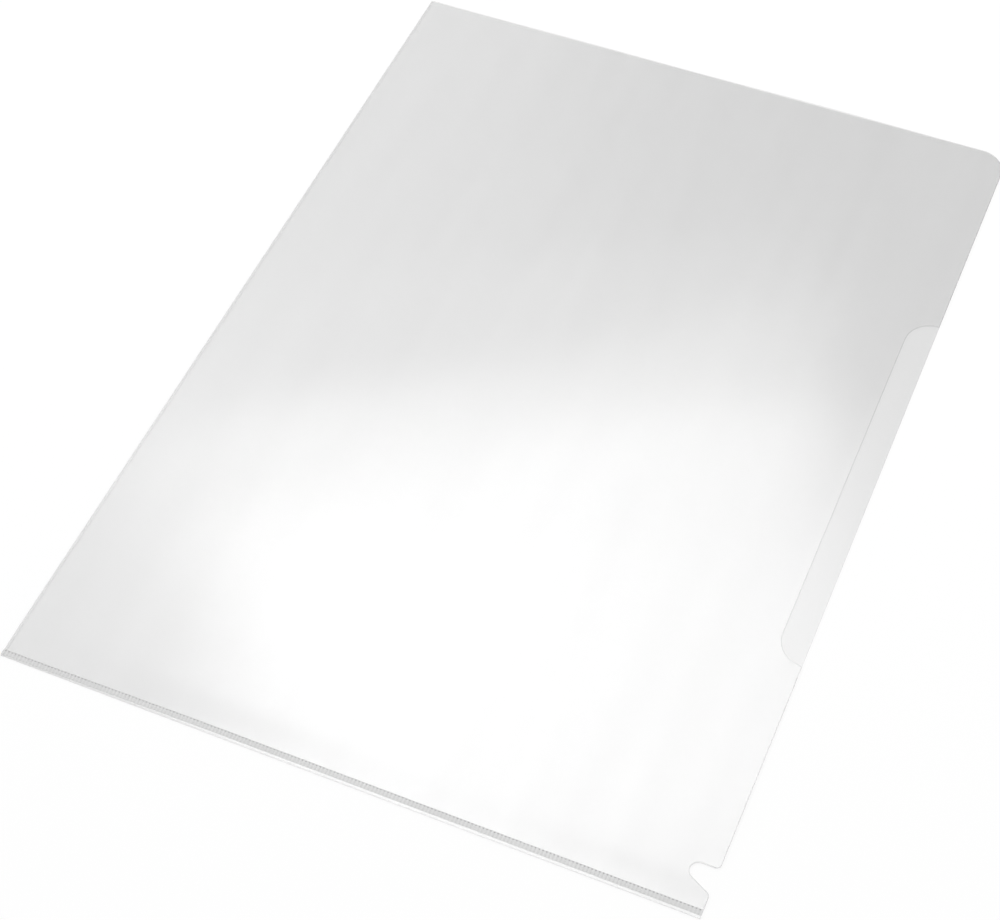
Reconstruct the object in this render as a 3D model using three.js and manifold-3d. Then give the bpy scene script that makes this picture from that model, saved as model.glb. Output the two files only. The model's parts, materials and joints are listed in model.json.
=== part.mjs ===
// Clear A4 document sleeve: one sheet of plastic film, folded down its left side
// and heat-welded along its bottom side, lying empty and flat on a table.
// Millimetres. +X runs from the fold to the open side, +Y from the weld to the
// open top, +Z up from the table. The origin is on the table under the centre.

import * as THREE from 'three';
import { mergeVertices } from 'three/addons/utils/BufferGeometryUtils.js';
import Module from 'manifold-3d';

// Whole sleeve
const sleeveWidth = 220;
const sleeveHeight = 310;
const filmThickness = 0.15;
// Air between the two panels of the empty sleeve
const pocketGap = 0.3;
const cornerRadius = 9;

// Thumb cut in the open edge of the front panel, its centre measured from the bottom edge
const thumbCutLength = 140;
const thumbCutDepth = 8.8;
const thumbCutRadius = 8.8;
const thumbCutCentre = 156.2;

// Relief notch through both panels, its top measured from the bottom edge
const notchDepth = 7.8;
const notchRadius = 2.6;
const notchTop = 15.8;
const notchSlopeDegrees = 26.5;
const notchLipRadius = 1.4;
const tabRadius = 1.6;

// Heat weld along the bottom
const weldMargin = 1;
const weldWidth = 2;
const weldEntryGap = 0.04;
const ribPitch = 1.125;
const ribWidth = 0.5;
const ribSlope = 0.1;
const ribHeight = 0.1;
const rampLength = 6;

// Fold down the left side, with a flat lip on either panel
const foldLip = 1;

// Lines along which the front panel bends, measured from the sleeve's diagonal
const bendCount = 8;
const firstBend = 12;
const bendSpacing = 14;
const bendGap = 0.3;

// Fineness of the round outlines
const arcSegments = 14;
const foldSegments = 10;

const left = -sleeveWidth / 2;
const right = sleeveWidth / 2;
const bottom = -sleeveHeight / 2;
const top = sleeveHeight / 2;
const weldBottom = bottom + weldMargin;
const weldTop = weldBottom + weldWidth;
const rampTop = weldTop + rampLength;
const panelLeft = left + foldLip;
const openStack = 2 * filmThickness + pocketGap;
const weldStack = 2 * filmThickness + weldEntryGap;
const diagonal = Math.hypot(sleeveWidth, sleeveHeight);
// Reach of a cutting solid past what it cuts
const cutterReach = 1;

const wasm = await Module();
wasm.setup();

const clearFilm = { color: 0xdfe3e6, roughness: 0.12, metalness: 0, transparent: true, opacity: 0.45 };
const frontFilm = { ...clearFilm, color: 0xe6eaed };
const foldedFilm = { ...clearFilm, color: 0xd2d7da, roughness: 0.18 };
const weldedFilm = { ...clearFilm, color: 0xb9bfc3, roughness: 0.35, opacity: 0.7 };
const cutFilm = { ...clearFilm, color: 0xcdd2d6, roughness: 0.2 };

// A closed geometry as a solid that can be cut.
function toSolid(geometry) {
  const bare = geometry.clone();
  bare.deleteAttribute('normal');
  bare.deleteAttribute('uv');
  const merged = mergeVertices(bare);
  const mesh = new wasm.Mesh({
    numProp: 3,
    vertProperties: new Float32Array(merged.attributes.position.array),
    triVerts: new Uint32Array(merged.index.array),
  });
  return new wasm.Manifold(mesh);
}

// A cut solid as a geometry again.
function toGeometry(solid) {
  const mesh = solid.getMesh();
  const geometry = new THREE.BufferGeometry();
  geometry.setAttribute('position', new THREE.BufferAttribute(new Float32Array(mesh.vertProperties), 3));
  geometry.setIndex(new THREE.BufferAttribute(new Uint32Array(mesh.triVerts), 1));
  return geometry;
}

// An outline in the plane of the table, raised from one height to another.
function upright(shape, low, high) {
  const settings = { depth: high - low, bevelEnabled: false, curveSegments: arcSegments };
  return new THREE.ExtrudeGeometry(shape, settings).translate(0, 0, low);
}

// A rectangular block between two corners.
function block(low, high) {
  const size = high.map((value, axis) => value - low[axis]);
  const centre = high.map((value, axis) => (value + low[axis]) / 2);
  return new THREE.BoxGeometry(...size).translate(...centre);
}

// Outline of either panel above the weld: tab, relief notch, open edge, round corner, top edge.
function panelOutline() {
  const slope = THREE.MathUtils.degToRad(notchSlopeDegrees);
  const notchCeiling = bottom + notchTop;
  const notchX = right - notchDepth + notchRadius;
  const notchY = notchCeiling - notchRadius;
  const slopeStartX = notchX - notchRadius * Math.sin(slope);
  const slopeStartY = notchY - notchRadius * Math.cos(slope);
  const tabPeak = slopeStartY - (right - slopeStartX) * Math.tan(slope);
  const tabY = tabPeak - tabRadius * (1 - Math.sin(slope)) / Math.cos(slope);
  const outline = new THREE.Shape();
  outline.moveTo(panelLeft, weldTop);
  outline.lineTo(right, weldTop);
  outline.absarc(right - tabRadius, tabY, tabRadius, 0, Math.PI / 2 - slope, false);
  outline.absarc(notchX, notchY, notchRadius, Math.PI * 1.5 - slope, Math.PI / 2, true);
  outline.absarc(right - notchLipRadius, notchCeiling + notchLipRadius, notchLipRadius, -Math.PI / 2, 0, false);
  outline.absarc(right - cornerRadius, top - cornerRadius, cornerRadius, 0, Math.PI / 2, false);
  outline.lineTo(panelLeft, top);
  outline.closePath();
  return outline;
}

// Outline of what the thumb cut takes out of the front panel.
function thumbCutOutline() {
  const low = bottom + thumbCutCentre - thumbCutLength / 2;
  const high = bottom + thumbCutCentre + thumbCutLength / 2;
  const arcX = right - thumbCutDepth + thumbCutRadius;
  const outline = new THREE.Shape();
  outline.moveTo(right + cutterReach, low);
  outline.lineTo(right + cutterReach, high);
  outline.absarc(arcX, high - thumbCutRadius, thumbCutRadius, Math.PI / 2, Math.PI, false);
  outline.absarc(arcX, low + thumbCutRadius, thumbCutRadius, Math.PI, Math.PI * 1.5, false);
  outline.closePath();
  return outline;
}

// The front panel's film seen from the side: it rises off the weld and then lies level.
function frontPanelSide() {
  const side = new THREE.Shape();
  side.moveTo(weldTop, weldStack - filmThickness);
  side.lineTo(rampTop, openStack - filmThickness);
  side.lineTo(top, openStack - filmThickness);
  side.lineTo(top, openStack);
  side.lineTo(rampTop, openStack);
  side.lineTo(weldTop, weldStack);
  side.closePath();
  const film = new THREE.ExtrudeGeometry(side, { depth: sleeveWidth, bevelEnabled: false });
  // The side view's axes become +Y and +Z, and its depth becomes +X.
  const sideways = new THREE.Matrix4().makeBasis(
    new THREE.Vector3(0, 1, 0),
    new THREE.Vector3(0, 0, 1),
    new THREE.Vector3(1, 0, 0),
  );
  return film.applyMatrix4(sideways).translate(left, 0, 0);
}

// Everything whose distance from the diagonal, towards the free corner, is between two values.
function diagonalBand(from, to) {
  const towardsCorner = Math.atan2(sleeveWidth, sleeveHeight);
  const low = [from, -diagonal, -cutterReach];
  const high = [to, diagonal, openStack + cutterReach];
  return block(low, high).rotateZ(towardsCorner);
}

// Everything whose place along the sleeve is between two values.
function crossBand(from, to) {
  return block([-diagonal, from, -cutterReach], [diagonal, to, openStack + cutterReach]);
}

// The whole front panel before it is divided.
function frontPanelSolid() {
  const film = toSolid(frontPanelSide());
  const outline = toSolid(upright(panelOutline(), -cutterReach, openStack + cutterReach));
  const thumbCut = toSolid(upright(thumbCutOutline(), -cutterReach, openStack + cutterReach));
  return film.intersect(outline).subtract(thumbCut);
}

// One section through the fold, as points of x and z around the film, for a given stack height.
function foldSection(stack) {
  const outer = stack / 2;
  const inner = outer - filmThickness;
  const centre = left + outer;
  const section = [new THREE.Vector2(panelLeft, 0)];
  for (let step = 0; step <= foldSegments; step += 1) {
    const turn = Math.PI * (0.5 + step / foldSegments);
    section.push(new THREE.Vector2(centre + outer * Math.cos(turn), outer - outer * Math.sin(turn)));
  }
  section.push(new THREE.Vector2(panelLeft, stack));
  section.push(new THREE.Vector2(panelLeft, stack - filmThickness));
  for (let step = foldSegments; step >= 0; step -= 1) {
    const turn = Math.PI * (0.5 + step / foldSegments);
    section.push(new THREE.Vector2(centre + inner * Math.cos(turn), outer - inner * Math.sin(turn)));
  }
  section.push(new THREE.Vector2(panelLeft, filmThickness));
  return section;
}

// A closed skin through sections that lie one behind another along +Y.
function loft(sections, stations) {
  const count = sections[0].length;
  const positions = [];
  sections.forEach((section, station) => {
    section.forEach((point) => positions.push(point.x, stations[station], point.y));
  });
  const faces = [];
  for (let station = 0; station + 1 < stations.length; station += 1) {
    for (let corner = 0; corner < count; corner += 1) {
      const near = station * count + corner;
      const nearNext = station * count + (corner + 1) % count;
      const far = near + count;
      const farNext = nearNext + count;
      faces.push(near, nearNext, far, nearNext, farNext, far);
    }
  }
  const capNear = THREE.ShapeUtils.triangulateShape(sections[0], []);
  const lastStation = (stations.length - 1) * count;
  const capFar = THREE.ShapeUtils.triangulateShape(sections[sections.length - 1], []);
  capNear.forEach(([a, b, c]) => faces.push(a, b, c));
  capFar.forEach(([a, b, c]) => faces.push(lastStation + a, lastStation + c, lastStation + b));
  const geometry = new THREE.BufferGeometry();
  geometry.setAttribute('position', new THREE.Float32BufferAttribute(positions, 3));
  geometry.setIndex(faces);
  return geometry;
}

// The folded left side: film turned round on itself, with a flat lip on either panel.
function foldGeometry() {
  const sections = [weldStack, openStack, openStack].map(foldSection);
  return loft(sections, [weldTop, rampTop, top]);
}

// One section through the fused band, for a given thickness, as seen before it is turned to run along +X.
function weldSection(thickness) {
  return [
    new THREE.Vector2(-weldBottom, 0),
    new THREE.Vector2(-weldTop, 0),
    new THREE.Vector2(-weldTop, thickness),
    new THREE.Vector2(-weldBottom, thickness),
  ];
}

// The fused band, with its fine ribs running across it.
function weldGeometry() {
  const ribCount = Math.floor((sleeveWidth - ribPitch) / ribPitch);
  const firstRib = -(ribCount - 1) * ribPitch / 2;
  const valley = weldSection(weldStack - ribHeight);
  const crest = weldSection(weldStack);
  const sections = [valley];
  const stations = [left];
  for (let rib = 0; rib < ribCount; rib += 1) {
    const centre = firstRib + rib * ribPitch;
    const half = ribWidth / 2;
    sections.push(valley, crest, crest, valley);
    stations.push(centre - half - ribSlope, centre - half, centre + half, centre + half + ribSlope);
  }
  sections.push(valley);
  stations.push(right);
  return loft(sections, stations).rotateZ(-Math.PI / 2);
}

// One layer of film outside the weld.
function marginGeometry(low) {
  return block([left, bottom, low], [right, weldBottom, low + filmThickness]);
}

const sleeve = new THREE.Group();

// Adds one piece of film to the sleeve under its name.
function addPiece(name, geometry, finish) {
  const piece = new THREE.Mesh(geometry, new THREE.MeshStandardMaterial(finish));
  piece.name = name;
  sleeve.add(piece);
}

// The front panel: its rise off the weld, its level held part, its bending strips and its free corner.
function addFrontPanel() {
  const panel = frontPanelSolid();
  const ramp = panel.intersect(toSolid(crossBand(bottom, rampTop)));
  const level = panel.intersect(toSolid(crossBand(rampTop, top + cutterReach)));
  addPiece('front_ramp', toGeometry(ramp), frontFilm);
  for (let piece = 0; piece <= bendCount; piece += 1) {
    const from = piece === 0 ? -diagonal : firstBend + (piece - 1) * bendSpacing + bendGap / 2;
    const to = piece === bendCount ? diagonal : firstBend + piece * bendSpacing - bendGap / 2;
    const strip = level.intersect(toSolid(diagonalBand(from, to)));
    const name = piece === 0 ? 'front_sheet' : piece === bendCount ? 'front_corner' : `front_flex_${piece}`;
    addPiece(name, toGeometry(strip), frontFilm);
  }
}

addPiece('back_sheet', upright(panelOutline(), 0, filmThickness), clearFilm);
addFrontPanel();
addPiece('spine_fold', foldGeometry(), foldedFilm);
addPiece('weld_seam', weldGeometry(), weldedFilm);
addPiece('back_margin', marginGeometry(0), cutFilm);
addPiece('front_margin', marginGeometry(weldStack - filmThickness), cutFilm);

export default sleeve;
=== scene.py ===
"""Dress a clear A4 document sleeve that lies empty and flat on a pale table.

The sleeve is one sheet of clear plastic film, folded down its left side and welded along its
bottom side with a fine ribbed band. Its top and right sides are open, its front panel has a
thumb cut, and its front panel is made in pieces that meet between the lines where it would
peel open from the top right corner. Sizes are millimetres until a mesh is made, and +Z is up
from the table.
"""

import json
import logging
import math
from dataclasses import dataclass
from enum import Enum, IntEnum
from typing import Callable, NamedTuple

import bpy
import numpy as np
from bpy.types import Material, Mesh, Node, NodeSocket, NodeTree, Object
from mathutils import Matrix, Vector
from mathutils.geometry import delaunay_2d_cdt

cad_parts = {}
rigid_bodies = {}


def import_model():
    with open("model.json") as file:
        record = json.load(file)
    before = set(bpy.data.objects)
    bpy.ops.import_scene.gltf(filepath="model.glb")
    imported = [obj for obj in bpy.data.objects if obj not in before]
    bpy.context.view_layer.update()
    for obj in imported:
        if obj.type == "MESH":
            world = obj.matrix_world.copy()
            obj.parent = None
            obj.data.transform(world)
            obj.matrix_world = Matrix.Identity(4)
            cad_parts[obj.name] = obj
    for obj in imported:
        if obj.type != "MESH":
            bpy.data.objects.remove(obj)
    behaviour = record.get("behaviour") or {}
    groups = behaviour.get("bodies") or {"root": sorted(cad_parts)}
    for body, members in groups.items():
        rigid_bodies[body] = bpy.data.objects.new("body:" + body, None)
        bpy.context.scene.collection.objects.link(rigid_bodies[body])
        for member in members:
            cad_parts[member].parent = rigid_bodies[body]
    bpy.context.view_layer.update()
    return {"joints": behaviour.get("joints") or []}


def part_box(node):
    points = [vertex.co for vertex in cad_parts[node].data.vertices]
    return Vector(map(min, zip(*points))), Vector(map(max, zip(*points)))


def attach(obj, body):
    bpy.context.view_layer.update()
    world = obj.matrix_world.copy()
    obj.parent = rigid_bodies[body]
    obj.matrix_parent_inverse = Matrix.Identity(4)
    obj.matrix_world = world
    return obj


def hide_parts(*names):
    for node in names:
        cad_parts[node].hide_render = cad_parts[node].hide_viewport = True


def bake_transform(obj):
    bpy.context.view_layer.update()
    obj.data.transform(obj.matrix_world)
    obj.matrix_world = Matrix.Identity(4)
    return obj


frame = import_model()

LOG = logging.getLogger("document_sleeve")
MM = 0.001
WHITE = (1.0, 1.0, 1.0, 1.0)
# Faces that meet at a sharper angle than this keep a crease
CREASE_DEGREES = 40
# Every arc has at least this many steps
ARC_STEPS = 6
# How near in millimetres two mesh corners, outline points or places on a line count as one
SAME_CORNER, SAME_POINT, SAME_LINE = 1e-5, 1e-4, 1e-3

Point = tuple[float, float]
Array = np.ndarray
Height = Callable[[Array, Array], Array]


def linear(hex_colour: str) -> tuple[float, float, float, float]:
    """Turn an sRGB hex colour, such as #F5F5F5, into the linear colour that a shader takes."""
    channels = [int(hex_colour[at:at + 2], 16) / 255 for at in (1, 3, 5)]
    values = [c / 12.92 if c <= 0.04045 else ((c + 0.055) / 1.055) ** 2.4 for c in channels]
    return (*values, 1.0)


def add_node(tree: NodeTree, kind: str, inputs: dict | None = None, **settings) -> Node:
    """Add one node to a tree, with its settings, values and links.

    Args:
        tree: The tree that the node goes into.
        kind: The node's Blender type.
        inputs: Each input's name or index, with its value or the socket that feeds it.
        settings: The node's own properties.

    Returns:
        The new node.
    """
    node = tree.nodes.new(kind)
    for name, value in settings.items():
        setattr(node, name, value)
    for socket, value in (inputs or {}).items():
        if isinstance(value, NodeSocket):
            tree.links.new(value, node.inputs[socket])
        else:
            node.inputs[socket].default_value = value
    return node


def new_material(name: str) -> tuple[Material, NodeTree]:
    """Make a material with an empty node tree, and give both."""
    material = bpy.data.materials.new(name)
    material.use_nodes = True
    material.node_tree.nodes.clear()
    return material, material.node_tree


def new_object(name: str, data: bpy.types.ID | None) -> Object:
    """Make an object and link it to the scene."""
    made = bpy.data.objects.new(name, data)
    bpy.context.scene.collection.objects.link(made)
    return made


def aim(turn: float, tilt: float, roll: float) -> Matrix:
    """Turn about +Z, then tilt about the turned +X, then roll about the tilted +Z, in degrees."""
    aimed = Matrix()
    for degrees, axis in ((turn, "Z"), (tilt, "X"), (roll, "Z")):
        aimed = aimed @ Matrix.Rotation(math.radians(degrees), 4, axis)
    return aimed


def smoothstep(value: Array) -> Array:
    """Ease from 0 to 1 with no corner at either end."""
    share = np.clip(value, 0, 1)
    return share * share * (3 - 2 * share)


class Slot(Enum):
    """The record's material slots."""

    CLEAR = "clear_film"
    FOLDED = "folded_film"
    WELDED = "welded_film"
    MARGIN = "film_margin"


class Face(IntEnum):
    """What a face of a film piece is, which is also its material's place on the piece."""

    FILM = 0
    CUT = 1
    JOIN = 2


@dataclass(frozen=True)
class SleeveSizes:
    """Sizes of the real sleeve, those of its outline and levels taken from the frame."""

    left: float
    right: float
    bottom: float
    top: float
    panel_left: float
    weld_low: float
    weld_high: float
    film: float
    welded: float
    stack: float
    corner_radius: float = 9.0
    thumb_length: float = 140.0
    thumb_depth: float = 8.8
    thumb_radius: float = 8.8
    thumb_centre: float = 156.2
    notch_depth: float = 7.8
    notch_radius: float = 2.6
    notch_top: float = 15.8
    notch_slope_degrees: float = 26.5
    notch_lip_radius: float = 1.4
    tab_radius: float = 1.6

    @classmethod
    def from_frame(cls) -> "SleeveSizes":
        """Read the outline and the levels, in millimetres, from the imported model."""
        back_low, back_high = (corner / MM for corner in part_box("back_sheet"))
        weld_low, weld_high = (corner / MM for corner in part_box("weld_seam"))
        margin_low, _ = (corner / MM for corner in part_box("back_margin"))
        _, corner_high = (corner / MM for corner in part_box("front_corner"))
        return cls(
            left=weld_low.x, right=weld_high.x, bottom=margin_low.y, top=back_high.y,
            panel_left=back_low.x, weld_low=weld_low.y, weld_high=weld_high.y,
            film=back_high.z, welded=weld_high.z, stack=corner_high.z,
        )

    def bend_axes(self) -> tuple[Array, Array]:
        """Give the way towards the free corner, and the way along the bend lines."""
        angle = math.atan2(self.right - self.left, self.top - self.bottom)
        towards = np.array([math.cos(angle), math.sin(angle)])
        return towards, np.array([-towards[1], towards[0]])


@dataclass(frozen=True)
class FilmFinish:
    """Clear polypropylene film, rolled smooth between polished rolls.

    The eye gets a pane that dims what lies behind it a little and mirrors the studio softly,
    because the rolls leave a faint grain like orange peel.
    """

    name: str
    passes: str
    roughness: float = 0.19
    haze: float = 0.0
    haze_colour: str = "#F2F2F2"
    refraction: float = 1.49
    grain_mm: float = 1.6
    grain_depth_mm: float = 0.004
    grain_detail: float = 2.0
    streak_mm: float = 9.0
    streak_stretch: float = 0.08
    streak_share: float = 0.012

    def make(self) -> Material:
        """Make a see-through material that mirrors by its refractive index."""
        material, tree = new_material(self.name)
        place = add_node(tree, "ShaderNodeTexCoord").outputs["Object"]
        bump = self.grain(tree, place)
        tint = self.tint(tree, place)
        clear = add_node(tree, "ShaderNodeBsdfTransparent", {"Color": tint}).outputs[0]
        if self.haze > 0:
            dull = {"Color": linear(self.haze_colour), "Normal": bump}
            milk = add_node(tree, "ShaderNodeBsdfDiffuse", dull).outputs[0]
            hazy = add_node(tree, "ShaderNodeMixShader", {0: self.haze, 1: clear, 2: milk})
            clear = hazy.outputs[0]
        shine = {"Roughness": self.roughness, "Normal": bump}
        gloss = add_node(tree, "ShaderNodeBsdfAnisotropic", shine).outputs[0]
        film = add_node(tree, "ShaderNodeMixShader", {0: self.mirror(tree), 1: clear, 2: gloss})
        add_node(tree, "ShaderNodeOutputMaterial", {"Surface": film.outputs[0]})
        return material

    def grain(self, tree: NodeTree, place: NodeSocket) -> NodeSocket:
        """Add the grain that the rolls leave, and give the surface normal with it."""
        scale = 1 / (self.grain_mm * MM)
        fine = {"Vector": place, "Scale": scale, "Detail": self.grain_detail}
        noise = add_node(tree, "ShaderNodeTexNoise", fine)
        depth = {"Height": noise.outputs[0], "Distance": self.grain_depth_mm * MM, "Strength": 1.0}
        return add_node(tree, "ShaderNodeBump", depth).outputs[0]

    def tint(self, tree: NodeTree, place: NodeSocket) -> NodeSocket:
        """Add the colour that passes one face, with faint streaks along the roll's travel."""
        scale = 1 / (self.streak_mm * MM)
        stretch = {"Vector": place, "Scale": (1.0, self.streak_stretch, 1.0)}
        travel = add_node(tree, "ShaderNodeMapping", stretch).outputs[0]
        drawn = {"Vector": travel, "Scale": scale, "Detail": 1.0}
        streaks = add_node(tree, "ShaderNodeTexNoise", drawn)
        full = linear(self.passes)
        thin = tuple(channel * (1 - self.streak_share) for channel in full[:3])
        mix = {0: streaks.outputs[0], 6: (*thin, 1.0), 7: full}
        return add_node(tree, "ShaderNodeMix", mix, data_type="RGBA").outputs[2]

    def mirror(self, tree: NodeTree) -> NodeSocket:
        """Add the share of light that a pane mirrors, both its faces taken together."""
        # Faces that each mirror the share f make a pane that mirrors 2 f / (1 + f). The face that
        # the light meets from outside gives all of it, and the face that it leaves by gives none.
        face = add_node(tree, "ShaderNodeFresnel", {"IOR": self.refraction}).outputs[0]
        twice = add_node(tree, "ShaderNodeMath", {0: face, 1: 2.0}, operation="MULTIPLY").outputs[0]
        more = add_node(tree, "ShaderNodeMath", {0: face, 1: 1.0}, operation="ADD").outputs[0]
        pane = add_node(tree, "ShaderNodeMath", {0: twice, 1: more}, operation="DIVIDE").outputs[0]
        leaving = add_node(tree, "ShaderNodeNewGeometry").outputs["Backfacing"]
        share = add_node(tree, "ShaderNodeMix", {0: leaving, 2: pane, 3: 0.0}, data_type="FLOAT")
        return share.outputs[0]


@dataclass(frozen=True)
class WeldFinish(FilmFinish):
    """Film fused by a hot ribbed bar, so it's greyer, a little milky and less glossy.

    Each pressed pocket is tinted greyer than the ribs beside it: painted shade in the recess.
    The steep ends of a pocket, found by their normals, are tinted dark: painted shade for the light
    that they bend away, in two rows of dark dots, the darker one on the panels' side. The strip
    beside the panels is as clear as they are.
    """

    upper_edge_passes: str = "#FCFCFC"
    pressed_painted_shade: str = "#E9E9E9"
    near_end_painted_shade: str = "#B6B6B6"
    far_end_painted_shade: str = "#E2E2E2"
    edge_starts_mm: float = -152.45
    edge_full_mm: float = -152.10
    rib_top_mm: float = 0.30
    pressed_mm: float = 0.20
    end_starts: float = 0.05
    end_full: float = 0.24

    def tint(self, tree: NodeTree, place: NodeSocket) -> NodeSocket:
        """Add the colour that passes one face, with painted shade in the pockets and at their ends.
        """
        _, along, height = add_node(tree, "ShaderNodeSeparateXYZ", {0: place}).outputs
        normal = add_node(tree, "ShaderNodeNewGeometry").outputs["Normal"]
        slope = add_node(tree, "ShaderNodeSeparateXYZ", {0: normal}).outputs["Y"]
        passes = super().tint(tree, place)
        # The last three layers are painted shade: greyer down in the pockets, and dark on each
        # pocket's sloping ends, darkest at the end nearer the panels
        layers = (
            (along, self.edge_starts_mm * MM, self.edge_full_mm * MM, self.upper_edge_passes),
            (height, self.rib_top_mm * MM, self.pressed_mm * MM, self.pressed_painted_shade),
            (slope, -self.end_starts, -self.end_full, self.near_end_painted_shade),
            (slope, self.end_starts, self.end_full, self.far_end_painted_shade),
        )
        for value, start, full, colour in layers:
            limits = {"Value": value, "From Min": start, "From Max": full}
            share = add_node(tree, "ShaderNodeMapRange", limits).outputs[0]
            mix = {0: share, 6: passes, 7: linear(colour)}
            passes = add_node(tree, "ShaderNodeMix", mix, data_type="RGBA").outputs[2]
        return passes


@dataclass(frozen=True)
class JoinFinish:
    """Where two pieces of the same film meet there is no surface, so nothing shows."""

    name: str = "unbroken_film"

    def make(self) -> Material:
        """Make a material that changes nothing."""
        material, tree = new_material(self.name)
        clear = add_node(tree, "ShaderNodeBsdfTransparent", {"Color": WHITE})
        add_node(tree, "ShaderNodeOutputMaterial", {"Surface": clear.outputs[0]})
        return material


class Finishes:
    """Every material of the sleeve, made once."""

    def __init__(self) -> None:
        """Make the materials."""
        # Lies on the table: the same film as the front panel, tinted greyer as painted shade
        # for the sleeve's shade on the table beneath it
        self.back = FilmFinish("clear_film_on_table", passes="#F5F5F5").make()
        # Dims hardly anything, so the eye knows it by what it mirrors
        self.front = FilmFinish("clear_film", passes="#FDFDFD").make()
        # Cut edges, and a narrow rim of film beside them, get a darker, slightly milky tint: a
        # painted dark line for the light that a knife-cut edge bends away and for its shade on the
        # table
        self.cut = FilmFinish("knife_cut_film_edge", passes="#F3F3F3", haze=0.02).make()
        # Creased film is slightly stressed, so it is greyer and a little milky
        self.fold = FilmFinish("creased_film", passes="#F8F8F8", haze=0.02).make()
        # The hot bar's grain and the fused layers make the weld satin and milky; its tint also
        # holds painted shade in the pressed pockets and dark dots at their ends
        weld = WeldFinish("heat_welded_film", passes="#F2F2F2", roughness=0.32, haze=0.05)
        self.weld = weld.make()
        self.join = JoinFinish().make()


class Outline:
    """A closed outline, drawn anticlockwise in straight runs and arcs."""

    def __init__(self, start: Point, run: float, chord: float) -> None:
        """Start at a point, with the longest stretch between points of a line and of an arc."""
        self.points: list[Point] = [start]
        self.run = run
        self.chord = chord

    def line(self, x: float, y: float) -> "Outline":
        """Go straight to a point, and give the outline itself."""
        from_x, from_y = self.points[-1]
        steps = max(1, math.ceil(math.hypot(x - from_x, y - from_y) / self.run))
        for step in range(1, steps + 1):
            share = step / steps
            self.points.append((from_x + (x - from_x) * share, from_y + (y - from_y) * share))
        return self

    def arc(self, centre: Point, radius: float, start: float, end: float) -> "Outline":
        """Go round an arc, after a straight run to its start.

        Args:
            centre: The arc's centre.
            radius: The arc's radius.
            start: The angle that it starts at, in degrees from +X.
            end: The angle that it ends at.

        Returns:
            The outline itself.
        """
        first = math.radians(start)
        self.line(centre[0] + radius * math.cos(first), centre[1] + radius * math.sin(first))
        turn = math.radians(end - start)
        steps = max(ARC_STEPS, math.ceil(abs(turn) * radius / self.chord))
        for step in range(1, steps + 1):
            angle = first + turn * step / steps
            x = centre[0] + radius * math.cos(angle)
            self.points.append((x, centre[1] + radius * math.sin(angle)))
        return self

    def close(self) -> Array:
        """Go straight back to the start, and give the points, one row each, none of them twice."""
        self.line(*self.points[0])
        kept = [self.points[0]]
        for point in self.points[1:-1]:
            if math.dist(point, kept[-1]) > SAME_POINT:
                kept.append(point)
        return np.array(kept)


def inside(points: Array, outline: Array) -> Array:
    """Tell which points lie inside a closed outline, with one row for each point of both."""
    x, y = points[:, 0], points[:, 1]
    found = np.zeros(len(points), bool)
    ends = np.roll(outline, -1, axis=0)
    for (ax, ay), (bx, by) in zip(outline, ends):
        if ay == by:
            continue
        crosses = (ay > y) != (by > y)
        found ^= crosses & (x < (bx - ax) * (y - ay) / (by - ay) + ax)
    return found


def distance(points: Array, outline: Array) -> Array:
    """Measure how far points lie from a closed outline, with one row for each point of both."""
    nearest = np.full(len(points), np.inf)
    for start, end in zip(outline, np.roll(outline, -1, axis=0)):
        along = end - start
        share = np.clip((points - start) @ along / (along @ along), 0, 1)
        gap = points - (start + share[:, None] * along)
        nearest = np.minimum(nearest, np.hypot(gap[:, 0], gap[:, 1]))
    return nearest


def inset(outline: Array, width: float, is_cut: Callable[[Point], bool]) -> Array:
    """Move an outline inwards along its cut edges, and slide its corners along the other edges.

    Args:
        outline: The outline's points, anticlockwise.
        width: How far a cut edge moves.
        is_cut: Tells whether the edge with this middle is a cut one.

    Returns:
        The moved points, one for each point of the outline.
    """
    count = len(outline)
    ends = np.roll(outline, -1, axis=0)
    along = (ends - outline) / np.linalg.norm(ends - outline, axis=1)[:, None]
    inward = np.stack([-along[:, 1], along[:, 0]], axis=1)
    cut = [is_cut(tuple((outline[at] + ends[at]) / 2)) for at in range(count)]
    moved = outline.copy()
    for at in range(count):
        before = at - 1
        if cut[before] and cut[at]:
            both = inward[before] + inward[at]
            moved[at] += width * both / (1 + inward[before] @ inward[at])
        elif cut[before]:
            moved[at] += width * along[at] / (along[at] @ inward[before])
        elif cut[at]:
            moved[at] += width * along[before] / (along[before] @ inward[at])
    return moved


class Wave(NamedTuple):
    """One wave of loose film: its share of the height, the way it runs, its length and phase."""

    share: float
    across: float
    along: float
    length: float
    phase: float


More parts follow.
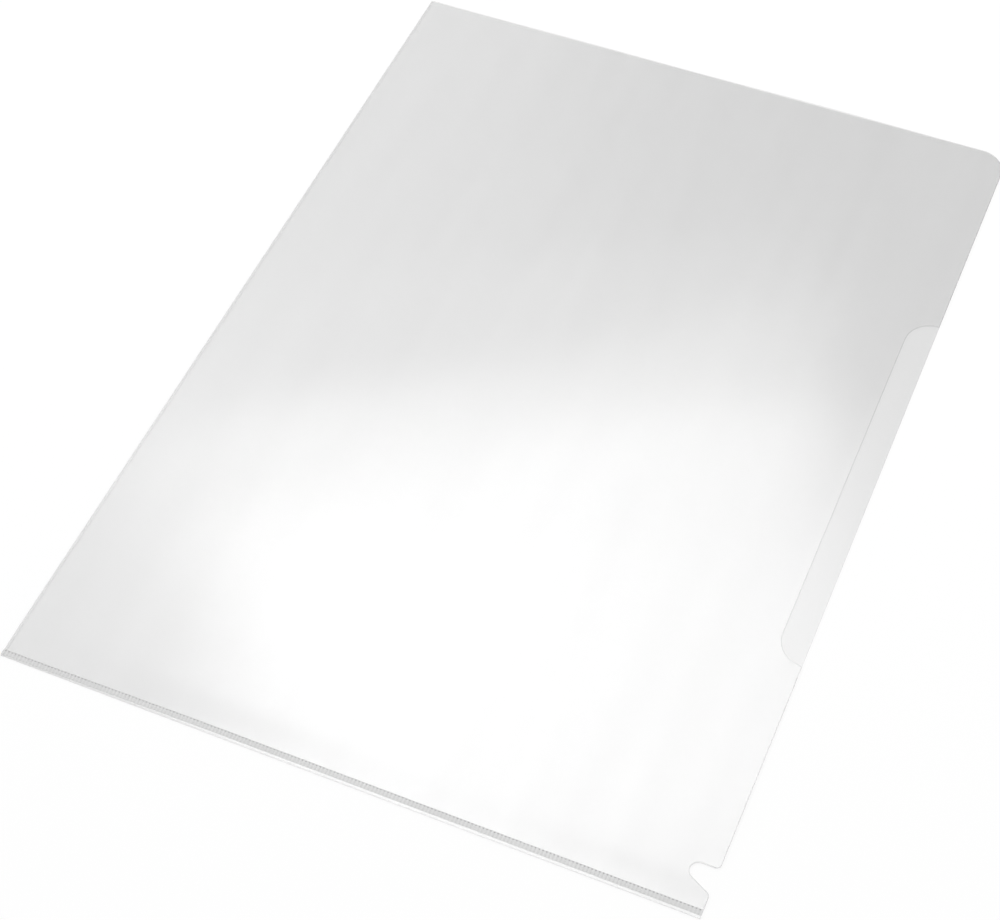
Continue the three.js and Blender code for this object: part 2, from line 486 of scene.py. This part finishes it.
@dataclass(frozen=True)
class Settling:
    """How the film lies: it isn't quite flat, and its weld isn't quite square to its edge."""

    sizes: SleeveSizes
    waves: tuple[Wave, ...] = (
        Wave(1.0, 0.90, 0.43, 97.0, 0.6),
        Wave(0.8, -0.35, 0.94, 71.0, 2.1),
        Wave(0.35, 0.55, -0.80, 43.0, 4.0),
    )
    wave_height: float = 0.085
    back_share: float = 0.25
    fade: float = 24.0
    ramp: float = 10.0
    slip: float = 0.08
    drift: float = 0.60
    drift_reach: float = 75.0
    drift_fade: float = 8.0

    def wave(self, x: Array, y: Array) -> Array:
        """Give the gentle waves of film that lies loose, which die out at the fold and the weld."""
        height = np.zeros_like(x)
        for wave in self.waves:
            turns = (wave.across * x + wave.along * y) / wave.length
            height = height + wave.share * np.sin(2 * math.pi * turns + wave.phase)
        return self.wave_height * height * self.loose(x, y)

    def loose(self, x: Array, y: Array) -> Array:
        """Give how free the film is to lie in waves, from 0 at the fold and the weld to 1."""
        from_fold = smoothstep((x - self.sizes.panel_left) / self.fade)
        from_weld = smoothstep((y - self.sizes.weld_high) / self.fade)
        return from_fold * from_weld

    def back(self, x: Array, y: Array) -> Array:
        """Give the back film's underside, which never dips under the table."""
        lift = self.wave_height * sum(wave.share for wave in self.waves)
        return self.back_share * (self.wave(x, y) + lift * self.loose(x, y))

    def front(self, x: Array, y: Array) -> Array:
        """Give the front film's underside, which rises off the weld."""
        low = self.sizes.welded - self.sizes.film
        high = self.sizes.stack - self.sizes.film
        rise = smoothstep((y - self.sizes.weld_high) / self.ramp)
        return low + (high - low) * rise + self.wave(x, y)

    def shift(self, x: Array, y: Array) -> Array:
        """Give what to add to y as the weld and what is near it slip down, most at the fold."""
        sizes = self.sizes
        fades = sizes.weld_high + self.drift_fade
        stations = [sizes.bottom, sizes.weld_low, sizes.weld_high, fades]
        near = np.interp(y, stations, [0.0, 1.0, 1.0, 0.0])
        across = smoothstep(1 - (x - sizes.left) / self.drift_reach)
        return -(self.slip + self.drift * across) * near


def mesh_object(name: str, points: Array, faces: list, kinds: list, materials: list) -> Object:
    """Make a mesh object from points in millimetres.

    Args:
        name: The piece's name.
        points: The points, one row each.
        faces: Each face's points, in order, facing outwards.
        kinds: What each face is.
        materials: The piece's materials, in the order of Face.

    Returns:
        The new object, linked to the scene.
    """
    mesh = bpy.data.meshes.new(name)
    mesh.from_pydata((points * MM).tolist(), [], faces)
    for material in materials:
        mesh.materials.append(material)
    mesh.polygons.foreach_set("material_index", [int(kind) for kind in kinds])
    mesh.update()
    mesh.validate()
    mesh.shade_smooth()
    mesh.set_sharp_from_angle(angle=math.radians(CREASE_DEGREES))
    return new_object(name, mesh)


@dataclass
class FilmSheet:
    """A flat sheet of film with any outline, divided into pieces, each a closed solid."""

    sizes: SleeveSizes
    settling: Settling
    outline: Array
    underside: Height
    is_cut: Callable[[Point], bool]
    grid: Array
    dividers: tuple[float, ...] = ()
    spacing: float = 5.0
    # A rim this wide beside each cut edge takes the cut edge's painted dark line
    edge_width: float = 0.22
    clearance: float = 0.9

    def divider(self, at: float) -> Array:
        """Give the points along the dividing line at a distance from the sleeve's middle."""
        towards, sideways = self.sizes.bend_axes()
        reach = math.hypot(self.sizes.right, self.sizes.top) + self.spacing
        count = int(reach // self.spacing)
        steps = np.arange(-count, count + 1) * self.spacing
        line = at * towards + steps[:, None] * sideways
        is_in = inside(line, self.outline)
        clear = ~is_in | (distance(line, self.outline) > self.clearance)
        return line[clear]

    def triangles(self) -> tuple[Array, Array, Array]:
        """Cover the outline with triangles.

        Returns:
            The points, the triangles, and whether each triangle lies in the rim of a cut edge.
        """
        rim = inset(self.outline, self.edge_width, self.is_cut)
        loose = self.grid[inside(self.grid, rim)]
        loose = loose[distance(loose, self.outline) > self.clearance]
        groups = [self.outline, rim, *(self.divider(at) for at in self.dividers), loose]
        starts = np.cumsum([0, *(len(group) for group in groups)])
        edges = []
        for start, group in zip(starts[:2], groups[:2]):
            edges += [(start + at, start + (at + 1) % len(group)) for at in range(len(group))]
        for start, group in zip(starts[2:-2], groups[2:-1]):
            edges += [(start + at, start + at + 1) for at in range(len(group) - 1)]
        points = [Vector(point) for point in np.concatenate(groups).tolist()]
        edges = [(int(a), int(b)) for a, b in edges]
        found = delaunay_2d_cdt(points, edges, [], 0, SAME_CORNER)
        corners = np.array([tuple(point) for point in found[0]])
        faces = np.array([tuple(face) for face in found[2]])
        middles = corners[faces].mean(axis=1)
        kept = inside(middles, self.outline)
        return corners, faces[kept], ~inside(middles[kept], rim)

    def solids(self, names: list[str], materials: list) -> list[Object]:
        """Make one closed solid for each stretch between dividers, from the fold side on."""
        corners, faces, in_rim = self.triangles()
        towards, _ = self.sizes.bend_axes()
        stretch = np.searchsorted(self.dividers, corners[faces].mean(axis=1) @ towards)
        made = []
        for at, name in enumerate(names):
            mine = stretch == at
            made.append(self.solid(name, corners, faces[mine], in_rim[mine], materials))
        return made

    def solid(
        self, name: str, corners: Array, faces: Array, in_rim: Array, materials: list
    ) -> Object:
        """Give a patch of triangles the film's thickness.

        Args:
            name: The piece's name.
            corners: The points of all the triangles.
            faces: The patch's triangles, anticlockwise.
            in_rim: Whether each lies in the rim of a cut edge.
            materials: The piece's materials, in the order of Face.

        Returns:
            The piece, closed and facing outwards.
        """
        used, flat = np.unique(faces, return_inverse=True)
        flat = flat.reshape(faces.shape)
        plan = corners[used]
        x, y = plan[:, 0], plan[:, 1]
        low = self.underside(x, y)
        lying = y + self.settling.shift(x, y)
        under = np.stack([x, lying, low], axis=1)
        over = np.stack([x, lying, low + self.sizes.film], axis=1)
        count = len(used)
        surface = [Face.CUT if rim else Face.FILM for rim in in_rim]
        all_faces = [tuple(int(v) + count for v in face) for face in flat]
        all_faces += [tuple(int(v) for v in face[::-1]) for face in flat]
        kinds = surface + surface
        sides = {(int(face[at]), int(face[(at + 1) % 3])) for face in flat for at in range(3)}
        rims = sorted(side for side in sides if side[::-1] not in sides)
        for a, b in rims:
            all_faces.append((a + count, a, b, b + count))
            middle = tuple((plan[a] + plan[b]) / 2)
            is_cut = self.is_cut(middle) and not self.is_divider(middle)
            kinds.append(Face.CUT if is_cut else Face.JOIN)
        return mesh_object(name, np.concatenate([under, over]), all_faces, kinds, materials)

    def is_divider(self, point: Point) -> bool:
        """Tell whether a point lies on a dividing line."""
        towards, _ = self.sizes.bend_axes()
        along = float(np.array(point) @ towards)
        return any(abs(along - at) < SAME_LINE for at in self.dividers)


@dataclass
class BackPanel:
    """The rear panel, which lies on the table: its outline and its film."""

    sizes: SleeveSizes
    settling: Settling
    run: float = 5.0
    chord: float = 0.5
    # How far apart points lie where the panel stays flat, and where it bends or rises
    coarse: float = 5.0
    fine: float = 1.4

    def right_edge(self, outline: Outline) -> Outline:
        """Draw the tab, the relief notch and its lip, up from the weld's open end."""
        sizes = self.sizes
        slope = math.radians(sizes.notch_slope_degrees)
        ceiling = sizes.bottom + sizes.notch_top
        notch = (sizes.right - sizes.notch_depth + sizes.notch_radius, ceiling - sizes.notch_radius)
        slope_x = notch[0] - sizes.notch_radius * math.sin(slope)
        slope_y = notch[1] - sizes.notch_radius * math.cos(slope)
        peak = slope_y - (sizes.right - slope_x) * math.tan(slope)
        tab_y = peak - sizes.tab_radius * (1 - math.sin(slope)) / math.cos(slope)
        degrees = sizes.notch_slope_degrees
        lip = (sizes.right - sizes.notch_lip_radius, ceiling + sizes.notch_lip_radius)
        outline.arc((sizes.right - sizes.tab_radius, tab_y), sizes.tab_radius, 0, 90 - degrees)
        outline.arc(notch, sizes.notch_radius, 270 - degrees, 90)
        return outline.arc(lip, sizes.notch_lip_radius, -90, 0)

    def outline(self) -> Array:
        """Draw the whole panel above the weld, anticlockwise."""
        sizes = self.sizes
        outline = Outline((sizes.panel_left, sizes.weld_high), self.run, self.chord)
        self.right_edge(outline.line(sizes.right, sizes.weld_high))
        self.open_edge(outline)
        corner = (sizes.right - sizes.corner_radius, sizes.top - sizes.corner_radius)
        outline.arc(corner, sizes.corner_radius, 0, 90)
        return outline.line(sizes.panel_left, sizes.top).close()

    def open_edge(self, outline: Outline) -> None:
        """Leave the open edge straight, as the rear panel has it."""

    def is_cut(self, middle: Point) -> bool:
        """Tell whether an edge with this middle is cut, not joined to the fold or the weld."""
        at_fold = abs(middle[0] - self.sizes.panel_left) < SAME_LINE
        at_weld = abs(middle[1] - self.sizes.weld_high) < SAME_LINE
        return not (at_fold or at_weld)

    def grid(self, bends: tuple[float, float]) -> Array:
        """Lay points over the panel, closer together where it bends and where it rises.

        Args:
            bends: Where the bending stretch starts and ends.

        Returns:
            The points, one row each, some of them outside the panel.
        """
        sizes = self.sizes
        towards, sideways = sizes.bend_axes()
        reach = math.hypot(sizes.right, sizes.top)
        # The rows of the bending stretch lie half a row clear of where its first piece starts
        rows = np.concatenate([
            np.arange(bends[0] - self.coarse, -reach, -self.coarse),
            np.arange(bends[0] + self.fine / 2, bends[1], self.fine),
            np.arange(bends[1], reach, self.coarse),
        ])
        count = int(reach // self.coarse)
        steps = np.arange(-count, count + 1) * self.coarse
        over = (rows[:, None, None] * towards + steps[None, :, None] * sideways).reshape(-1, 2)
        rise_top = sizes.weld_high + self.settling.ramp
        across, along = np.meshgrid(
            np.arange(sizes.panel_left + self.coarse / 2, sizes.right, self.coarse / 2),
            np.arange(sizes.weld_high + self.fine, rise_top, self.fine),
        )
        rise = np.stack([across.ravel(), along.ravel()], axis=1)
        return np.concatenate([over[over[:, 1] > rise_top + self.fine], rise])

    def sheet(
        self, underside: Height, bends: tuple[float, float], dividers: tuple[float, ...] = ()
    ) -> FilmSheet:
        """Lay the whole panel's film at a height, divided where its pieces are to meet."""
        grid = self.grid(bends)
        return FilmSheet(
            self.sizes, self.settling, self.outline(), underside, self.is_cut, grid, dividers
        )

    def build(self, finishes: Finishes) -> list[Object]:
        """Make the rear panel of the given materials, alone in a list."""
        sheet = self.sheet(self.settling.back, (self.sizes.right, self.sizes.right))
        materials = [finishes.back, finishes.cut, finishes.join]
        (panel,) = sheet.solids(["back_panel_film"], materials)
        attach(panel, "sleeve")
        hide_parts("back_sheet")
        return [panel]


@dataclass
class FrontPanel(BackPanel):
    """The front panel, with the thumb cut, in pieces split beside the diagonal where it would bend
    open.
    """

    def open_edge(self, outline: Outline) -> None:
        """Cut the thumb cut into the open edge, after the notch's lip."""
        sizes = self.sizes
        low = sizes.bottom + sizes.thumb_centre - sizes.thumb_length / 2
        high = sizes.bottom + sizes.thumb_centre + sizes.thumb_length / 2
        arc_x = sizes.right - sizes.thumb_depth + sizes.thumb_radius
        outline.arc((arc_x, low + sizes.thumb_radius), sizes.thumb_radius, 270, 180)
        outline.arc((arc_x, high - sizes.thumb_radius), sizes.thumb_radius, 180, 90)

    def hinges(self) -> list[tuple[str, str, float]]:
        """List each joint's two bodies, and how far it lies from the middle to the free corner."""
        found = []
        for joint in frame["joints"]:
            x, y = joint["pos_m"][0] / MM, joint["pos_m"][1] / MM
            found.append((joint["parent"], joint["child"], math.hypot(x, y)))
        return sorted(found, key=lambda hinge: hinge[2])

    def build(self, finishes: Finishes) -> list[Object]:
        """Make one piece for each bend, from the fold side on, which meet between the bends."""
        hinges = self.hinges()
        places = [place for _, _, place in hinges]
        half = (places[1] - places[0]) / 2
        dividers = tuple(place + half for place in places[:-1])
        bends = (places[0] - half, places[-1] + half)
        sheet = self.sheet(self.settling.front, bends, dividers)
        names = [f"front_panel_film_{at}" for at in range(1, len(hinges) + 1)]
        pieces = sheet.solids(names, [finishes.front, finishes.cut, finishes.join])
        nodes = ["front_sheet", *(f"front_flex_{at}" for at in range(1, len(hinges)))]
        towards, _ = self.sizes.bend_axes()
        for piece, node, (before, after, place) in zip(pieces, nodes, hinges):
            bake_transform(piece)
            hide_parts(node)
        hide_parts("front_ramp")
        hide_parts("front_corner")
        return pieces


@dataclass
class SpineFold:
    """The left side, where the film is folded round on itself, with a narrow lip on each panel."""

    sizes: SleeveSizes
    settling: Settling
    turns: int = 20
    station: float = 6.0
    fine_station: float = 1.0

    def section(self, stack: float) -> Array:
        """Give a section through the fold, across and up, round the film's outside and inside."""
        sizes = self.sizes
        outer = stack / 2
        centre = sizes.left + outer
        turns = np.pi * (0.5 + np.arange(self.turns + 1) / self.turns)
        rims = []
        for radius, order in ((outer, 1), (outer - sizes.film, -1)):
            across = centre + radius * np.cos(turns)
            bend = np.stack([across, outer - radius * np.sin(turns)], axis=1)
            start = [[sizes.panel_left, outer - radius]]
            end = [[sizes.panel_left, outer + radius]]
            rims.append(np.concatenate([start, bend, end])[::order])
        return np.concatenate(rims)

    def build(self, finishes: Finishes) -> list[Object]:
        """Make the fold of the given materials, alone in a list."""
        sizes = self.sizes
        ramp_top = sizes.weld_high + self.settling.ramp
        near = np.arange(sizes.weld_high, ramp_top, self.fine_station)
        far = np.arange(ramp_top, sizes.top, self.station)
        stations = np.concatenate([near, far, [sizes.top]])
        undersides = self.settling.front(np.full(len(stations), sizes.panel_left), stations)
        sections = [self.section(float(underside) + sizes.film) for underside in undersides]
        count = len(sections[0])
        points = []
        for y, section in zip(stations, sections):
            slip = self.settling.shift(section[:, 0], np.full(count, y))
            points.append(np.stack([section[:, 0], y + slip, section[:, 1]], axis=1))
        faces, kinds = [], []
        half = count // 2
        for base in range(0, (len(stations) - 1) * count, count):
            for corner in range(count):
                here, after = base + corner, base + (corner + 1) % count
                faces.append((here, after, count + after, count + here))
                kinds.append(Face.JOIN if corner in (half - 1, count - 1) else Face.FILM)
        last = (len(stations) - 1) * count
        for corner in range(half - 1):
            mate = count - 1 - corner
            faces.append((corner, mate, mate - 1, corner + 1))
            faces.append((last + corner, last + corner + 1, last + mate - 1, last + mate))
            kinds += [Face.JOIN, Face.CUT]
        materials = [finishes.fold, finishes.cut, finishes.join]
        fold = mesh_object("folded_spine_film", np.concatenate(points), faces, kinds, materials)
        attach(fold, "sleeve")
        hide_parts("spine_fold")
        return [fold]


@dataclass
class WeldSeam:
    """The band that a hot ribbed bar fused: pressed pockets with a rib between each two."""

    sizes: SleeveSizes
    settling: Settling
    pitch: float = 1.125
    pocket_half: float = 0.15
    pocket_slope: float = 0.15
    pocket_reach: float = 0.50
    end_slope: float = 0.44
    depth: float = 0.12
    columns: int = 8
    rows: int = 17
    join_facing: float = 0.9

    def tree(self, finishes: Finishes, values: dict[str, float | int]) -> NodeTree:
        """Build the node tree that presses the pockets into a flat band.

        Args:
            finishes: The sleeve's materials.
            values: The sizes, each of which becomes an input under its name.

        Returns:
            The tree.
        """
        tree = bpy.data.node_groups.new("pressed_weld_band", "GeometryNodeTree")
        sockets = tree.interface
        sockets.new_socket("Geometry", in_out="INPUT", socket_type="NodeSocketGeometry")
        sockets.new_socket("Geometry", in_out="OUTPUT", socket_type="NodeSocketGeometry")
        for name, value in values.items():
            kind = "NodeSocketInt" if isinstance(value, int) else "NodeSocketFloat"
            sockets.new_socket(name, in_out="INPUT", socket_type=kind)
        sizes = tree.nodes.new("NodeGroupInput").outputs
        sides = {0: sizes["Length"], 1: sizes["Width"], 2: sizes["Thickness"]}
        block = {
            "Size": add_node(tree, "ShaderNodeCombineXYZ", sides).outputs[0],
            "Vertices X": sizes["Columns"],
            "Vertices Y": sizes["Rows"],
            "Vertices Z": 2,
        }
        band = add_node(tree, "GeometryNodeMeshCube", block)
        place = add_node(tree, "GeometryNodeInputPosition").outputs[0]
        across, along, up = add_node(tree, "ShaderNodeSeparateXYZ", {0: place}).outputs
        halved = {0: sizes["Pitch"], 1: 0.5}
        half = add_node(tree, "ShaderNodeMath", halved, operation="MULTIPLY").outputs[0]
        folded = {0: across, 1: half}
        from_rib = add_node(tree, "ShaderNodeMath", folded, operation="PINGPONG").outputs[0]
        from_middle = add_node(tree, "ShaderNodeMath", {0: along}, operation="ABSOLUTE").outputs[0]
        pocket = self.falloff(tree, from_rib, sizes["Pocket Half"], sizes["Pocket Slope"])
        ends = self.falloff(tree, from_middle, sizes["Pocket Reach"], sizes["End Slope"])
        sink = ends
        for factor in (pocket, sizes["Depth"], -1.0):
            product = {0: sink, 1: factor}
            sink = add_node(tree, "ShaderNodeMath", product, operation="MULTIPLY").outputs[0]
        offset = add_node(tree, "ShaderNodeCombineXYZ", {2: sink}).outputs[0]
        on_top = add_node(tree, "ShaderNodeMath", {0: up, 1: 0.0}, operation="GREATER_THAN")
        moved = {"Geometry": band.outputs[0], "Selection": on_top.outputs[0], "Offset": offset}
        pressed = add_node(tree, "GeometryNodeSetPosition", moved).outputs[0]
        whole = add_node(tree, "GeometryNodeRealizeInstances", {0: pressed}).outputs[0]
        dress = {"Geometry": whole, "Material": finishes.weld}
        dressed = add_node(tree, "GeometryNodeSetMaterial", dress).outputs[0]
        normal = add_node(tree, "GeometryNodeInputNormal").outputs[0]
        facing = add_node(tree, "ShaderNodeSeparateXYZ", {0: normal}).outputs["Y"]
        upright = add_node(tree, "ShaderNodeMath", {0: facing}, operation="ABSOLUTE").outputs[0]
        steep = {0: upright, 1: self.join_facing}
        is_join = add_node(tree, "ShaderNodeMath", steep, operation="GREATER_THAN").outputs[0]
        joined = {"Geometry": dressed, "Selection": is_join, "Material": finishes.join}
        weld = add_node(tree, "GeometryNodeSetMaterial", joined).outputs[0]
        add_node(tree, "NodeGroupOutput", {0: weld})
        return tree

    @staticmethod
    def falloff(
        tree: NodeTree, away: NodeSocket, flat: NodeSocket, slope: NodeSocket
    ) -> NodeSocket:
        """Add a share that is 1 on a pocket's flat floor and eases to 0 up its slope."""
        end = add_node(tree, "ShaderNodeMath", {0: flat, 1: slope}, operation="ADD").outputs[0]
        limits = {"Value": away, "From Min": end, "From Max": flat}
        share = add_node(tree, "ShaderNodeMapRange", limits, interpolation_type="SMOOTHSTEP")
        return share.outputs[0]

    def build(self, finishes: Finishes) -> list[Object]:
        """Make the weld of the given materials, alone in a list."""
        sizes = self.sizes
        length = sizes.right - sizes.left
        lengths = {
            "Length": length, "Width": sizes.weld_high - sizes.weld_low,
            "Thickness": sizes.welded, "Pitch": self.pitch, "Pocket Half": self.pocket_half,
            "Pocket Slope": self.pocket_slope, "Pocket Reach": self.pocket_reach,
            "End Slope": self.end_slope, "Depth": self.depth,
        }
        values = {name: value * MM for name, value in lengths.items()}
        values["Columns"] = round(length / self.pitch) * self.columns + 1
        values["Rows"] = self.rows
        seed = new_object("weld_seed", bpy.data.meshes.new("weld_seed"))
        modifier = seed.modifiers.new("weld", "NODES")
        modifier.node_group = self.tree(finishes, values)
        for item in modifier.node_group.interface.items_tree:
            if item.in_out == "INPUT" and item.name in values:
                modifier[item.identifier] = values[item.name]
        graph = bpy.context.evaluated_depsgraph_get()
        mesh = bpy.data.meshes.new_from_object(seed.evaluated_get(graph), depsgraph=graph)
        bpy.data.objects.remove(seed)
        weld = new_object("ribbed_weld", mesh)
        middle = Vector((0, (sizes.weld_low + sizes.weld_high) / 2, sizes.welded / 2)) * MM
        mesh.transform(Matrix.Translation(middle))
        self.settle(mesh)
        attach(weld, "sleeve")
        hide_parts("weld_seam")
        return [weld]

    def settle(self, mesh: Mesh) -> None:
        """Let the band's mesh, which is in metres, slip out of square as the real one has."""
        places = np.empty(len(mesh.vertices) * 3)
        mesh.vertices.foreach_get("co", places)
        places = places.reshape(-1, 3)
        places[:, 1] += self.settling.shift(places[:, 0] / MM, places[:, 1] / MM) * MM
        mesh.vertices.foreach_set("co", places.ravel())
        mesh.polygons.foreach_set("use_smooth", [False] * len(mesh.polygons))
        mesh.update()


@dataclass
class Margins:
    """The two layers outside the weld, which aren't fused and stand a little apart."""

    sizes: SleeveSizes
    settling: Settling
    spread: float = 0.09
    run: float = 4.0
    cell: float = 0.3

    def is_cut(self, middle: Point) -> bool:
        """Tell whether an edge with this middle is cut, not joined to the weld."""
        return abs(middle[1] - self.sizes.weld_low) > SAME_LINE

    def back(self, x: Array, y: Array) -> Array:
        """Give the lower layer's underside, flat on the table."""
        return np.zeros_like(x)

    def front(self, x: Array, y: Array) -> Array:
        """Give the upper layer's underside, which rises towards its cut edge."""
        out = (self.sizes.weld_low - y) / (self.sizes.weld_low - self.sizes.bottom)
        return self.sizes.welded - self.sizes.film + self.spread * out ** 2

    def build(self, finishes: Finishes) -> list[Object]:
        """Make the lower layer and the upper layer of the given materials."""
        sizes = self.sizes
        outline = Outline((sizes.left, sizes.bottom), self.run, self.run)
        outline.line(sizes.right, sizes.bottom).line(sizes.right, sizes.weld_low)
        outline.line(sizes.left, sizes.weld_low)
        corners = outline.close()
        across = np.arange(sizes.left + self.run / 2, sizes.right, self.run / 2)
        depth = (sizes.bottom + sizes.weld_low) / 2
        grid = np.stack([across, np.full_like(across, depth)], axis=1)
        made = []
        layers = (
            ("back_margin", self.back, finishes.back),
            ("front_margin", self.front, finishes.front),
        )
        for node, underside, film in layers:
            sheet = FilmSheet(
                sizes, self.settling, corners, underside, self.is_cut, grid, clearance=self.cell
            )
            (layer,) = sheet.solids([f"{node}_film"], [film, film, finishes.join])
            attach(layer, "sleeve")
            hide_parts(node)
            made.append(layer)
        return made


@dataclass(frozen=True)
class Photographer:
    """The camera, where the photograph was taken from."""

    place: tuple[float, float, float] = (175.0, -407.9, 548.0)
    down_degrees: float = 52.87
    turn_degrees: float = -25.19
    roll_degrees: float = -2.39
    focal_pixels: float = 2190.0
    frame_pixels: float = 1000.0
    sensor: float = 36.0
    clip: tuple[float, float] = (0.01, 20.0)

    def build(self) -> None:
        """Make the camera and look through it."""
        data = bpy.data.cameras.new("camera")
        data.sensor_width = self.sensor
        data.lens = self.focal_pixels / self.frame_pixels * self.sensor
        data.clip_start, data.clip_end = self.clip
        camera = new_object("camera", data)
        aimed = aim(-self.turn_degrees, 90 - self.down_degrees, self.roll_degrees)
        camera.matrix_world = Matrix.Translation(Vector(self.place) * MM) @ aimed
        bpy.context.scene.camera = camera


@dataclass(frozen=True)
class SoftBox:
    """A large soft lamp that faces the sleeve."""

    name: str
    turn_degrees: float
    rise_degrees: float
    roll_degrees: float
    reach: float
    slide: float
    forward: float
    width: float
    length: float
    radiance: float

    def build(self) -> None:
        """Make the lamp."""
        data = bpy.data.lights.new(self.name, "AREA")
        data.shape = "RECTANGLE"
        data.size, data.size_y = self.width * MM, self.length * MM
        data.energy = self.radiance * math.pi * data.size * data.size_y
        lamp = new_object(self.name, data)
        aimed = aim(self.turn_degrees, self.rise_degrees - 90, self.roll_degrees)
        away = Matrix.Translation(Vector((self.slide, self.forward, self.reach)) * MM)
        lamp.matrix_world = aimed @ away


@dataclass(frozen=True)
class Studio:
    """The pale table, the lamp over it and the room round them."""

    table_size: float = 6000.0
    table_drop: float = 0.02
    table_colour: str = "#E6E6E6"
    lit_share: float = 0.45
    lit_level: float = 0.79
    near: float = 300.0
    far: float = 800.0
    walls: float = 0.84
    bright_side: float = 1.96
    dark_side: float = 0.62
    bright_at: float = -0.44
    dark_at: float = -0.18
    wall_starts: float = 0.30
    wall_full: float = 0.60

    def table(self) -> None:
        """Make the table top, which looks white and keeps the sleeve's shadow."""
        half = self.table_size / 2
        plan = ((-half, -half), (half, -half), (half, half), (-half, half))
        corners = np.array([(x, y, -self.table_drop) for x, y in plan])
        card = [self.table_material()]
        top = mesh_object("table_top", corners, [(0, 1, 2, 3)], [Face.FILM], card)

    def table_material(self) -> Material:
        """Make the table's material: white card to the eye, and pale card to the lamps."""
        material, tree = new_material("white_card")
        card = linear(self.table_colour)
        plain = add_node(tree, "ShaderNodeBsdfDiffuse", {"Color": card}).outputs[0]
        place = add_node(tree, "ShaderNodeTexCoord").outputs["Object"]
        reach = add_node(tree, "ShaderNodeVectorMath", {0: place}, operation="LENGTH")
        limits = {
            "Value": reach.outputs["Value"], "From Min": self.far * MM, "From Max": self.near * MM,
            "To Max": self.lit_share,
        }
        fade = add_node(tree, "ShaderNodeMapRange", limits, interpolation_type="SMOOTHSTEP")
        lit = fade.outputs[0]
        share = {0: card[:3], "Scale": lit}
        colour = add_node(tree, "ShaderNodeVectorMath", share, operation="SCALE").outputs[0]
        shaded = add_node(tree, "ShaderNodeBsdfDiffuse", {"Color": colour}).outputs[0]
        dim = {0: lit, 1: -self.lit_level, 2: 1.0}
        strength = add_node(tree, "ShaderNodeMath", dim, operation="MULTIPLY_ADD").outputs[0]
        glow = add_node(tree, "ShaderNodeEmission", {"Color": WHITE, "Strength": strength})
        white = add_node(tree, "ShaderNodeAddShader", {0: shaded, 1: glow.outputs[0]}).outputs[0]
        rays = add_node(tree, "ShaderNodeLightPath").outputs
        seen = rays["Is Camera Ray"]
        for kind in ("Is Glossy Ray", "Is Transmission Ray"):
            either = {0: seen, 1: rays[kind]}
            seen = add_node(tree, "ShaderNodeMath", either, operation="MAXIMUM").outputs[0]
        both = add_node(tree, "ShaderNodeMixShader", {0: seen, 1: plain, 2: white})
        add_node(tree, "ShaderNodeOutputMaterial", {"Surface": both.outputs[0]})
        return material

    def room(self) -> None:
        """Make the room: white to the eye, grey to the film, with a pale wall in its mirrors."""
        world = bpy.data.worlds.new("studio")
        bpy.context.scene.world = world
        world.use_nodes = True
        tree = world.node_tree
        tree.nodes.clear()
        way = add_node(tree, "ShaderNodeTexCoord").outputs["Generated"]
        sideways, _, upwards = add_node(tree, "ShaderNodeSeparateXYZ", {0: way}).outputs
        turned = {"Value": sideways, "From Min": self.dark_at, "From Max": self.bright_at}
        side = add_node(tree, "ShaderNodeMapRange", turned).outputs[0]
        raised = {"Value": upwards, "From Min": self.wall_starts, "From Max": self.wall_full}
        high = add_node(tree, "ShaderNodeMapRange", raised, interpolation_type="SMOOTHSTEP")
        both = {0: side, 1: high.outputs[0]}
        wall = add_node(tree, "ShaderNodeMath", both, operation="MULTIPLY").outputs[0]
        range_of = {0: wall, 1: self.bright_side - self.dark_side, 2: self.dark_side}
        level = add_node(tree, "ShaderNodeMath", range_of, operation="MULTIPLY_ADD").outputs[0]
        rays = add_node(tree, "ShaderNodeLightPath").outputs
        mirrored = {0: rays["Is Glossy Ray"], 2: self.walls, 3: level}
        light = add_node(tree, "ShaderNodeMix", mirrored, data_type="FLOAT").outputs[0]
        strength = {0: rays["Is Camera Ray"], 2: light, 3: 1.0}
        shown = add_node(tree, "ShaderNodeMix", strength, data_type="FLOAT").outputs[0]
        sky = add_node(tree, "ShaderNodeBackground", {"Color": WHITE, "Strength": shown})
        add_node(tree, "ShaderNodeOutputWorld", {"Surface": sky.outputs[0]})

    def build(self) -> None:
        """Make the table, the room and the lamp."""
        self.table()
        self.room()
        # The large box overhead is what the lower half of the sleeve mirrors
        SoftBox(
            "overhead_softbox", turn_degrees=30.3, rise_degrees=80.2, roll_degrees=6.4,
            reach=1300.0, slide=126.0, forward=392.0, width=633.0, length=615.0, radiance=3.25,
        ).build()
        bpy.context.scene.view_settings.view_transform = "Standard"


def main() -> None:
    """Build the camera, the studio and the sleeve, and report each piece."""
    logging.basicConfig(level=logging.INFO, format="%(message)s")
    Photographer().build()
    Studio().build()
    sizes = SleeveSizes.from_frame()
    settling = Settling(sizes)
    finishes = Finishes()
    for part in (BackPanel, FrontPanel, SpineFold, WeldSeam, Margins):
        for piece in part(sizes, settling).build(finishes):
            LOG.info("%s: %d faces", piece.name, len(piece.data.polygons))


if __name__ == "__main__":
    main()
